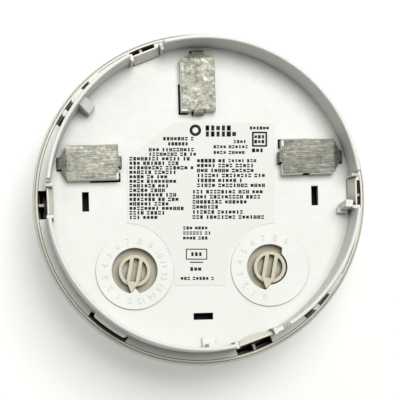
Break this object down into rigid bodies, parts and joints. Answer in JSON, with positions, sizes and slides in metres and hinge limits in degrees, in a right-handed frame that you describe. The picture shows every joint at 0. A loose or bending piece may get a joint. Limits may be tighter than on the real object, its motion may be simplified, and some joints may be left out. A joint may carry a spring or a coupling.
{
  "type": "smoke detector head",
  "caption": "Round plug-in smoke detector head with a standing bayonet rim, contact shoes, rotary address dials, a clip-on cover and a vented sensing chamber.",
  "frame": {"origin": "on the axis of the head, in the plane of the rim's top edge on the base side", "axes": "+Z along the axis, out of the back towards the mounting base; +Y towards the contact shoe that stands alone; +X towards the shoe beside the ones dial"},
  "size_m": [0.104, 0.104, 0.0385],
  "materials": {
    "housing_plastic": "satin moulded white",
    "cover_plastic": "satin moulded ivory",
    "dial_plastic": "satin moulded ivory",
    "switch_plastic": "matt moulded beige",
    "tinned_contact": "dull tin plate with stains",
    "label_sheet": "matt printed sticker",
    "board_laminate": "dark solder mask",
    "black_plastic": "matt moulded black",
    "screen_mesh": "dark fine mesh",
    "red_lens": "clear red resin",
    "infrared_lens": "smoky clear resin",
    "tin_shield": "bright tin plate",
    "spring_metal": "plated spring metal",
    "reed_glass": "clear tube",
    "chip_black": "matt epoxy",
    "chip_ceramic": "matt ceramic chips",
    "capacitor_can": "bright can",
    "crystal_case": "bright tin plate",
    "screw_steel": "zinc plated"
  },
  "bodies": {
    "housing": {"rear_housing": "housing_plastic", "product_label": "label_sheet", "contact_top": "tinned_contact", "contact_left": "tinned_contact", "contact_right": "tinned_contact", "circuit_board": "board_laminate", "board_screws": "screw_steel", "chamber_base": "black_plastic", "infrared_emitter": "infrared_lens", "photodiode": "infrared_lens", "photodiode_shield": "tin_shield", "status_led_a": "red_lens", "status_led_b": "red_lens", "led_spacers": "black_plastic", "switch_body_tens": "switch_plastic", "switch_body_ones": "switch_plastic", "reed_switch": "reed_glass", "microcontroller": "chip_black", "bridge_diodes": "chip_black", "chip_components": "chip_ceramic", "capacitors": "capacitor_can", "crystal": "crystal_case"},
    "tens_dial": {"address_dial_tens": "dial_plastic", "wiper_tens": "spring_metal"},
    "ones_dial": {"address_dial_ones": "dial_plastic", "wiper_ones": "spring_metal"},
    "cover": {"detector_cover": "cover_plastic"},
    "chamber_lid": {"chamber_cover": "black_plastic", "insect_screen": "screen_mesh"},
    "tab_right": {"release_tab_right": "cover_plastic"},
    "tab_top": {"release_tab_top": "cover_plastic"},
    "tab_left": {"release_tab_left": "cover_plastic"},
    "tab_bottom": {"release_tab_bottom": "cover_plastic"}
  },
  "joints": [
    {"name": "tens_dial_turn", "type": "hinge", "parent": "housing", "child": "tens_dial", "pos_m": [-0.0209, -0.0221, -0.011], "axis": [0, 0, -1], "range_deg": [0, 337.5]},
    {"name": "ones_dial_turn", "type": "hinge", "parent": "housing", "child": "ones_dial", "pos_m": [0.0209, -0.0221, -0.011], "axis": [0, 0, -1], "range_deg": [0, 202.5]},
    {"name": "cover_pull", "type": "slide", "parent": "housing", "child": "cover", "axis": [0, 0, -1], "range_m": [0, 0.06]},
    {"name": "chamber_lid_pull", "type": "slide", "parent": "housing", "child": "chamber_lid", "axis": [0, 0, -1], "range_m": [0, 0.03]},
    {"name": "tab_right_flex", "type": "hinge", "parent": "cover", "child": "tab_right", "pos_m": [0.04673, 0, -0.02], "axis": [0, 1, 0], "range_deg": [0, 5], "stiffness_Nm_per_rad": 0.003},
    {"name": "tab_top_flex", "type": "hinge", "parent": "cover", "child": "tab_top", "pos_m": [-0.0159, 0.04394, -0.02], "axis": [-0.9403, -0.3404, 0], "range_deg": [0, 5], "stiffness_Nm_per_rad": 0.003},
    {"name": "tab_left_flex", "type": "hinge", "parent": "cover", "child": "tab_left", "pos_m": [-0.04672, -0.00057, -0.02], "axis": [0.0122, -0.9999, 0], "range_deg": [0, 5], "stiffness_Nm_per_rad": 0.003},
    {"name": "tab_bottom_flex", "type": "hinge", "parent": "cover", "child": "tab_bottom", "pos_m": [0.01521, -0.04418, -0.02], "axis": [0.9455, 0.3256, 0], "range_deg": [0, 5], "stiffness_Nm_per_rad": 0.003}
  ],
  "couplings": [
    {"joint": "chamber_lid_pull", "follows": "cover_pull", "ratio": 0.5}
  ]
}
